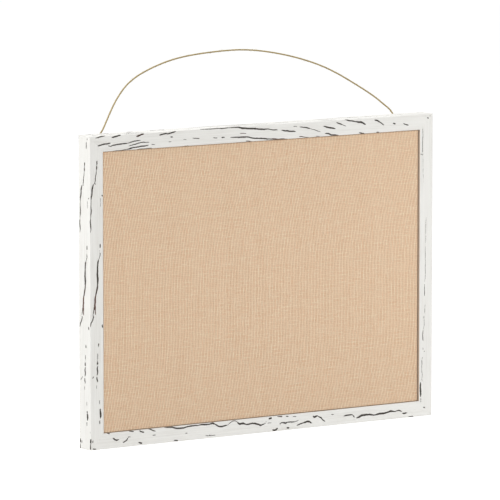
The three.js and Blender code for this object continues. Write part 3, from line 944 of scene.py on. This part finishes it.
# %% [markdown]
# ## The four lengths
# Each is the same sweep, set along its own side of the board. The front and the outer side sink a little
# where they are cracked, and wander by a tenth of a millimetre, as planed and sanded wood does. On the
# photographed left side the front's cracks come again, folded over and drawn out a little, so every outer
# side takes its cracks from its front in that way, a little wider.

# %% Cut and mitre the moulding
row_step = 2 * mm
crack_depth = 0.45 * mm
waver = 0.12 * mm
side_spread = 0.85
fold_line, fold_stretch, fold_slip = 28.5 * mm, 1.15, 2.5 * mm
# The lip's worn level of 0.8 gives its greyer tone, partly stain and partly painted shade.
unpainted = {"back": (0, 0, 1), "lip": (0.8, 0, 1)}
section_steps = [math.dist(a[:2], b[:2]) for a, b in zip(section, section[1:])]
ways = np.cumsum([0.0, *section_steps]).tolist()
lengths = {
    "rail_top": (board_width, (middle.x, front, top), (0, 0, -1), (1, 0, 0)),
    "rail_bottom": (board_width, (middle.x, front, bottom), (0, 0, 1), (-1, 0, 0)),
    "stile_left": (board_height, (left, front, middle.z), (1, 0, 0), (0, 0, 1)),
    "stile_right": (board_height, (right, front, middle.z), (-1, 0, 0), (0, 0, -1)),
}


def swept(name, number):
    """Points, faces, grain and state of one length of moulding, before its slots are cut."""
    length, origin, inward, along = lengths[name]
    origin, inward, along = Vector(origin), Vector(inward), Vector(along)
    backwards = Vector((0, 1, 0))
    rows, count = round(length / row_step), len(section)
    flat, folded, grain, kinds = [], [], [], []
    for i in range(rows + 1):
        share = 2 * i / rows - 1
        for way, (u, d, out_u, out_d, region) in zip(ways, section):
            t = share * (length / 2 - u - mitre_trim)
            place = origin + inward * u + backwards * d + along * t
            slid = origin + inward * (fold_line - d) / fold_stretch + along * (t + fold_slip)
            shown = slid if region == "side" else place
            flat.append(place)
            folded.append(((shown.x - middle.x) / mm, (shown.z - bottom) / mm))
            grain.append((t, way, number))
            kinds.append((inward * out_u + backwards * out_d, region))
    worn, red = wear_at(folded, cracks[name])
    points, state = [], []
    for place, (outward, region), level, redness, (t, way, _) in zip(flat, kinds, worn, red, grain):
        if region in unpainted:
            points.append(place)
            state.append(unpainted[region])
            continue
        if region == "side":
            level = level**side_spread
        sunk = waver * (0.5 + 0.5 * noise.noise(Vector((t * 60, way * 300, number * 9))))
        points.append(place - outward * (sunk + crack_depth * level))
        state.append((level, redness, 0))
    ends = [tuple(reversed(range(count))), tuple(range(rows * count, rows * count + count))]
    return points, ends + quads(rows + 1, count), grain, state


def moulding(name, number):
    """One length with its slots cut. What the cut leaves of the old points keeps its grain and state."""
    points, faces, grain, state = swept(name, number)
    layers = {"grain": grain, "state": state}
    piece = new_piece(f"{name}_washed", points, faces, wood, "board", layers)
    slots = piece.modifiers.new("slots", "BOOLEAN")
    slots.operation = "DIFFERENCE"
    slots.solver = "EXACT"
    slots.object = cutter
    settle(piece)
    tree = kdtree.KDTree(len(points))
    for i, place in enumerate(points):
        tree.insert(place, i)
    tree.balance()
    nearest = [tree.find(vertex.co) for vertex in piece.data.vertices]
    store(piece.data, "grain", [grain[i] for _, i, _ in nearest])
    same_place = 0.01 * mm
    states = [state[i] if gap < same_place else unpainted["back"] for _, i, gap in nearest]
    store(piece.data, "state", states)
    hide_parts(name)
    print(piece.name, len(piece.data.polygons), "faces")


for number, name in enumerate(lengths):
    moulding(name, number)
bpy.data.objects.remove(cutter)

# %% [markdown]
# ## Burlap
# Burlap is a plain weave of thick jute threads, nine or ten to the inch, each of its own thickness and tone.
# A picture of cloth would repeat and blur, so the weave is worked out from the cloth's own flat coordinates,
# which the mesh stores: which thread is nearest, how round it is there, and whether it passes over or
# under. The upright threads stand a little prouder, as in the photograph. The gaps and the low parts of the
# weave are painted darker as shade, and a painted shade also darkens the lower part of the cloth.

# %% Burlap finish
thread_pitch = 2.7 * mm
thread_drift = 2.2 * mm
painted_shade_height, painted_shade_share = 0.3, 0.075


def thread_tone(cloth, index, along, seed):
    """How much paler a thread is than the next one, which changes slowly along it."""
    tones = []
    for step in (0.0, 1.0):
        place = {0: (index + step) * 5.3 + seed, 1: along * 0.11, 2: seed}
        tones.append(cloth.noise(cloth.node("ShaderNodeCombineXYZ", {}, place), detail=1.0))
    return (tones[0] - tones[1]) * 0.45 + 0.15


def burlap_finish():
    cloth = material("burlap", Roughness=0.92, Specular_IOR_Level=0.15)
    place = cloth.attribute("cloth")
    drift = cloth.noise(cloth.stretched(place, (45, 45, 45)), detail=2.0, output=1)
    drift = cloth.stretched(cloth.shifted(drift, (-0.5, -0.5, -0.5)), (thread_drift, thread_drift, 0))
    moved = cloth.stretched(cloth.shifted(place, drift), (1 / thread_pitch,) * 3)
    across, up = cloth.part(moved, "X"), cloth.part(moved, "Y")
    column, row = across.floor(), up.floor()
    warp_share = 0.86 + cloth.random_of(column) * 0.12
    weft_share = 0.92 + cloth.random_of(row + 500.0) * 0.12
    half_turn = math.pi
    warp = 1 - ((across - column - 0.5) * 2 / warp_share) ** 2
    weft = 1 - ((up - row - 0.5) * 2 / weft_share) ** 2
    warp_rise = ((up - 0.5 + column) * half_turn).cosine()
    weft_rise = ((across - 0.5 + row) * half_turn).cosine() * -1.0
    warp_top = warp.at_least(0) ** 0.5 * 0.95 + warp_rise * 0.2 + 0.1
    weft_top = weft.at_least(0) ** 0.5 * 0.15 + weft_rise * 1.0 + 0.2
    covered = warp.at_least(weft).step(0.0, 0.35)
    over = warp_top.above(weft_top)
    height = warp_top.at_least(weft_top)
    hairs_up = cloth.noise(cloth.stretched(place, (5200, 620, 1)), detail=3.0)
    hairs_across = cloth.noise(cloth.stretched(place, (620, 5200, 1)), detail=3.0)
    warp_tone = thread_tone(cloth, column, up, 0.0) * 1.1 + hairs_up * 0.67
    weft_tone = thread_tone(cloth, row, across, 41.0) * 1.2 + hairs_across * 0.61
    tone = over * warp_tone + (1 - over) * weft_tone
    patches = cloth.noise(cloth.stretched(place, (70, 70, 1)), detail=2.0)
    paleness = (tone * 0.8 + patches * 0.2).step(0.2, 0.8)
    fibre = cloth.mix(paleness, colour(239, 201, 168), colour(255, 240, 213))
    # Painted shade: the low parts of the weave, where the threads dip under, are darker.
    shaded = cloth.mix((height * 0.6).step(0.0, 1.0), colour(201, 161, 125), fibre)
    # Painted shade: the gaps between the threads get a dark colour.
    woven = cloth.mix(covered, colour(152, 116, 84), shaded)
    # Painted shade: the cloth darkens towards the bottom rail.
    painted_shade_ramp = (1 - cloth.part(place, "Y") / painted_shade_height).at_least(0) ** 2
    cloth.feed("Base Color", cloth.mix(painted_shade_ramp * painted_shade_share, woven, colour(0, 0, 0)))
    cloth.bump(height * covered + tone * 0.3, 0.5 * mm)
    return cloth


cloth = burlap_finish()
cloth.report()

# %% [markdown]
# ## The wrapped panel
# The burlap is one sheet, pulled over the front of the core, down its sides and turned in behind it. The
# cloth can't turn a sharp corner, so its front edges roll over: tightly at the left and at both ends, where
# it is pulled hard against the lip, and more softly at the right. The pull has also dragged the upright
# threads askew, up to some eight degrees, near the top and the bottom. A grid on the flat sheet is bent
# round that form, then given the cloth's thickness.

# %% Wrap the cloth
snug = 0.55 * mm
cover_low, cover_high = (Vector(corner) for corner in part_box("burlap_cover"))
cover_low -= Vector((snug, 0, snug))
cover_high += Vector((0, 0, snug))
roll_left, roll_right, roll_ends = 1.4 * mm, 5 * mm, 1.2 * mm
roll_deep, deeper_towards_right = 3 * mm, 60 * mm
hem = 22 * mm
cloth_thickness = 0.9 * mm
flat_step = 7 * mm
roll_shares = [k / 5 for k in range(5)]
swell, swell_margin = 0.25 * mm, 20 * mm


def lines(low, high, first, last):
    """Grid lines from edge to edge, close together where the cloth rolls over."""
    spans = round((high - low - first - last) / flat_step)
    inside = np.linspace(low + first, high - last, spans + 1).tolist()
    ends = [low + k * first for k in roll_shares], [high - k * last for k in reversed(roll_shares)]
    return ends[0] + inside + ends[1]


def askew(z):
    """How far the cloth's upright threads have slipped sideways at a height, as it was stretched."""
    lean, wave = 0.075, 350 * mm / turn
    return lean * (z - middle.z) - lean * wave * math.sin((z - bottom - 190 * mm) / wave)


def rolled(place):
    """Draws a point of the sharp box in to the rounded one."""
    near_right = min(max((place.x - cover_high.x) / deeper_towards_right + 1, 0), 1)
    roll_depth = roll_deep + near_right * mm
    core = Vector((
        min(max(place.x, cover_low.x + roll_left), cover_high.x - roll_right),
        max(place.y, cover_low.y + roll_depth),
        min(max(place.z, cover_low.z + roll_ends), cover_high.z - roll_ends),
    ))
    reach = Vector((roll_left if place.x < middle.x else roll_right, roll_depth, roll_ends))
    away = place - core
    share = Vector([a / r for a, r in zip(away, reach)])
    if share.length == 0:
        return place
    share.normalize()
    return core + Vector([a * r for a, r in zip(share, reach)])


def wrapped_sheet():
    columns = lines(cover_low.x, cover_high.x, roll_left, roll_right)
    rows = lines(cover_low.z, cover_high.z, roll_ends, roll_ends)
    wide, tall = len(columns), len(rows)
    points, flat = [], []
    for z in rows:
        for x in columns:
            place = rolled(Vector((x, cover_low.y, z)))
            rim = min(x - cover_low.x, cover_high.x - x, z - cover_low.z, cover_high.z - z)
            ease = min(1.0, rim / swell_margin)
            place.y += swell * ease * (0.5 + 0.5 * noise.noise(Vector((x * 22, z * 22, 3))))
            points.append(place)
            flat.append((x + askew(z), z, 0))
    faces = [
        (j * wide + i, j * wide + i + 1, (j + 1) * wide + i + 1, (j + 1) * wide + i)
        for j in range(tall - 1)
        for i in range(wide - 1)
    ]
    ring = list(range(wide))
    ring += [j * wide + wide - 1 for j in range(1, tall)]
    ring += [(tall - 1) * wide + i for i in range(wide - 2, -1, -1)]
    ring += [j * wide for j in range(tall - 2, 0, -1)]
    rim = [(columns[k % wide], rows[k // wide]) for k in ring]
    far = cover_high.y - cover_low.y
    backs = [k * mm for k in (0.5, 1, 1.6, 2.2, 3, 4, 5, 7)] + [far - 2 * mm, far]
    for depth, inset in [(depth, 0) for depth in backs] + [(far, inset) for inset in (2 * mm, hem / 2, hem)]:
        first = len(points)
        for x, z in rim:
            reach = depth + inset
            place = rolled(Vector((x, cover_low.y + depth, z)))
            place.x = min(max(place.x, cover_low.x + inset), cover_high.x - inset)
            place.z = min(max(place.z, cover_low.z + inset), cover_high.z - inset)
            points.append(place)
            out_x = reach * (int(x >= cover_high.x) - int(x <= cover_low.x))
            out_z = reach * (int(z >= cover_high.z) - int(z <= cover_low.z))
            flat.append((x + askew(z) + out_x, z + out_z, 0))
        count = len(ring)
        inner = ring if first == wide * tall else list(range(first - count, first))
        for k in range(count):
            j = (k + 1) % count
            faces.append((inner[j], inner[k], first + k, first + j))
    return points, faces, flat


points, faces, flat = wrapped_sheet()
burlap = new_piece("burlap_wrapped", points, faces, cloth, "board", {"cloth": flat})
thicken = burlap.modifiers.new("thickness", "SOLIDIFY")
thicken.thickness = cloth_thickness
thicken.offset = -1
settle(burlap, sharp=math.radians(60))
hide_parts("burlap_cover")

# %% [markdown]
# ## Screw eyes
# A screw eye is one bent wire: a threaded shank, a short plain neck, and a ring that closes almost onto
# the neck again. The thread is a saw-toothed change of radius that climbs as it goes round.

# %% Brass wire
def brass_finish():
    brass = material("brass_wire", Metallic=1.0)
    where = brass.place()
    dull = brass.noise(where, 420.0)
    brass.feed("Base Color", brass.mix(dull.step(0.4, 0.7), colour(222, 188, 118), colour(176, 138, 76)))
    brass.feed("Roughness", 0.26 + dull * 0.2)
    brass.bump(brass.noise(where, 2600.0), 0.03 * mm)
    return brass


brass = brass_finish()
brass.report()
shank_start = 17.4 * mm
thread_end = 11 * mm
thread_pitch_eye = 1.3 * mm
tip_length = 3 * mm
ring_start, ring_span = 12, 316
neck_knots, ring_steps = 7, 18


def eye_radius_at(along, angle):
    if along > thread_end:
        return eye_wire
    tip = min(1.0, along / tip_length + 0.08)
    climb = (along / thread_pitch_eye - angle / turn) % 1.0
    return eye_wire * tip * (0.76 + 0.24 * climb)


def screw_eye(name, side):
    centre = Vector((side * eye_span / 2, eye_line.y, eye_line.z))
    knots = [centre + Vector((0, -shank_start + k * 2.0 * mm, 0)) for k in range(neck_knots)]
    for k in range(ring_steps + 1):
        angle = math.radians(ring_start + ring_span * k / ring_steps)
        knots.append(centre + Vector((0, -math.cos(angle), math.sin(angle))) * eye_ring_radius)
    points, faces, grain = tube(smooth_path(knots, 0.18 * mm), eye_radius_at, 16)
    piece = new_piece(f"screw_eye_{name}_bent", points, faces, brass, "board")
    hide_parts(f"screw_eye_{name}")
    print(piece.name, len(faces), "faces")


screw_eye("left", -1)
screw_eye("right", 1)

# %% [markdown]
# ## Bumpers
# Two soft pale domes keep the board's lower corners off the wall. The frame has them as plain turned solids;
# here they are turned again from a finer profile, with a small foot and a crown that flattens at the top.

# %% Turn the bumpers
def rubber_finish():
    rubber = material("bumper_rubber", Roughness=0.35, Subsurface_Weight=0.2)
    where = rubber.place()
    cloudy = rubber.noise(where, 300.0)
    rubber.feed("Base Color", rubber.mix(cloudy, colour(214, 215, 210), colour(230, 231, 227)))
    rubber.bump(rubber.noise(where, 900.0), 0.05 * mm)
    return rubber


rubber = rubber_finish()
rubber.report()


bumper_sides = 48
crown_start, crown_steps = 0.45, 8


def bumper(name):
    low, high = (Vector(corner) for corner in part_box(f"bumper_{name}"))
    centre = (low + high) / 2
    radius, height = (high.x - low.x) / 2, high.y - low.y
    profile = [(radius * 0.96, 0), (radius, 0.12 * height), (radius, crown_start * height)]
    for k in range(1, crown_steps + 1):
        angle = turn / 4 * k / crown_steps
        crown = crown_start + (1 - crown_start) * math.sin(angle)
        profile.append((radius * math.cos(angle) ** 0.8, height * crown))
    points = [
        (x, low.y + rise, z)
        for reach, rise in profile[:-1]
        for x, z in round_outline(centre.x, centre.z, reach, bumper_sides)
    ]
    points.append((centre.x, high.y, centre.z))
    faces = [tuple(range(bumper_sides))]
    faces += [face[::-1] for face in quads(len(profile) - 1, bumper_sides)]
    last = (len(profile) - 2) * bumper_sides
    for k in range(bumper_sides):
        faces.append((last + (k + 1) % bumper_sides, last + k, len(points) - 1))
    piece = new_piece(f"bumper_{name}_domed", points, faces, rubber, "board")
    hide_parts(f"bumper_{name}")


bumper("left")
bumper("right")
print("bumpers turned")

# %% [markdown]
# ## Backing, core and small steel
# The backing, the core, the points and the V nails are flat pieces that already have their true shapes, so
# they keep them. Pressed board is a felt of fibres, which fine noise gives in two grades: dark and hard for
# the backing, pale and soft for the core. The steel is zinc-plated, with a dull, faintly spangled skin.

# %% Finish the backing, the core and the steel
def hardboard_finish():
    board = material("hardboard", Roughness=0.55)
    where = board.place()
    mottle = board.noise(where, 60.0, detail=4.0)
    flecks = board.noise(where, 900.0, detail=5.0)
    tone = (mottle * 0.15 + flecks * 0.85).step(0.3, 0.7)
    board.feed("Base Color", board.mix(tone, colour(112, 78, 52), colour(146, 106, 74)))
    board.feed("Roughness", 0.5 + flecks * 0.25)
    board.bump(flecks, 0.06 * mm)
    return board


def softboard_finish():
    board = material("softboard", Roughness=0.95)
    where = board.place()
    fibres = board.noise(where, 700.0, detail=6.0)
    board.feed("Base Color", board.mix(fibres.step(0.3, 0.7), colour(140, 120, 94), colour(182, 162, 132)))
    board.bump(fibres, 0.3 * mm)
    return board


def steel_finish():
    steel = material("zinc_steel", Metallic=1.0)
    where = steel.place()
    spangle = steel.noise(where, 800.0, detail=2.0)
    steel.feed("Base Color", steel.mix(spangle, colour(168, 171, 174), colour(205, 207, 209)))
    steel.feed("Roughness", 0.3 + spangle * 0.3)
    steel.bump(steel.noise(steel.stretched(where, (3000, 300, 3000))), 0.03 * mm)
    return steel


hardboard, softboard, steel = hardboard_finish(), softboard_finish(), steel_finish()
repaint("backing_board", hardboard)
repaint("pinboard_core", softboard)
for node in frame["nodes"]:
    if node.startswith(("v_nail", "point")):
        repaint(node, steel)
for finish in (hardboard, softboard, steel):
    finish.report()

# %% [markdown]
# ## The floor
# The board hangs clear of a plain pale floor, which only has to take its shadow and to look as white as the
# photograph's background does. Light that is bright enough for that would bleach the board, so the floor
# glows a little instead, and only for the rays that the camera sees or that metal sends on.

# %% Lay the floor
floor_drop = 0.35
reach = 40


def is_seen(finish):
    """1 for rays from the camera, and for those that mirrors and glass send on."""
    rays = finish.node("ShaderNodeLightPath")
    node = rays.socket.node
    seen = Signal(finish, node.outputs["Is Camera Ray"])
    for name in ("Is Glossy Ray", "Is Transmission Ray"):
        seen = seen.at_least(Signal(finish, node.outputs[name]))
    return seen


floor_finish = material(
    "studio_floor",
    Base_Color=colour(235, 235, 234),
    Roughness=1.0,
    Specular_IOR_Level=0.0,
    Emission_Strength=0.68,
)
floor_finish.feed("Emission Color", floor_finish.mix(is_seen(floor_finish), (0, 0, 0, 1), (1, 1, 1, 1)))
corners = [(-reach, -reach), (reach, -reach), (reach, reach), (-reach, reach)]
mesh = bpy.data.meshes.new("studio_floor")
mesh.from_pydata([(x, y, bottom - floor_drop) for x, y in corners], [], [(0, 1, 2, 3)])
mesh.materials.append(floor_finish.owner)
floor = in_scene("studio_floor", mesh)
print("floor", floor_drop, "m below the board")

# %% [markdown]
# ## Light and white surroundings
# Four large soft lamps share the work: a key lamp from the left and the front, one each for the narrow left
# side and for the top, and a near one at the right that keeps the right half as bright as in the photograph.
# The surroundings fill in the rest, and what the camera sees of them is plain white. Each lamp is set by
# how much it adds to a white face that is turned to it, so that the sum stays just below white.

# %% Light the studio
surround_level = 0.4
world = bpy.data.worlds.new("studio")
bpy.context.scene.world = world
studio = Finish(world, Color=(1, 1, 1, 1))
strength = {"Value": is_seen(studio), "To Min": surround_level, "To Max": 1.0}
studio.feed("Strength", studio.node("ShaderNodeMapRange", {}, strength))


def lamp(name, direction, distance, size, share):
    """A soft square lamp whose light adds share to the brightness of a white face turned to it."""
    light = bpy.data.lights.new(name, "AREA")
    light.size = size
    light.energy = share * math.pi**2 * distance**2
    made = in_scene(name, light)
    aim = Vector(direction).normalized()
    made.location = middle + aim * distance
    made.rotation_euler = aim.to_track_quat("Z", "Y").to_euler()
    made.visible_camera = False
    print(f"{name} adds {share} from {distance} m away")


lamp("key_lamp", (-0.66, -0.7, 0.3), 6.0, 3.0, 0.337)
lamp("left_lamp", (-0.95, 0.1, 1.1), 4.0, 2.0, 0.502)
lamp("top_lamp", (0.1, 0.12, 1.0), 3.0, 1.6, 0.31)
lamp("right_lamp", (0.75, -0.6, 0.1), 1.3, 0.6, 0.235)

# %% [markdown]
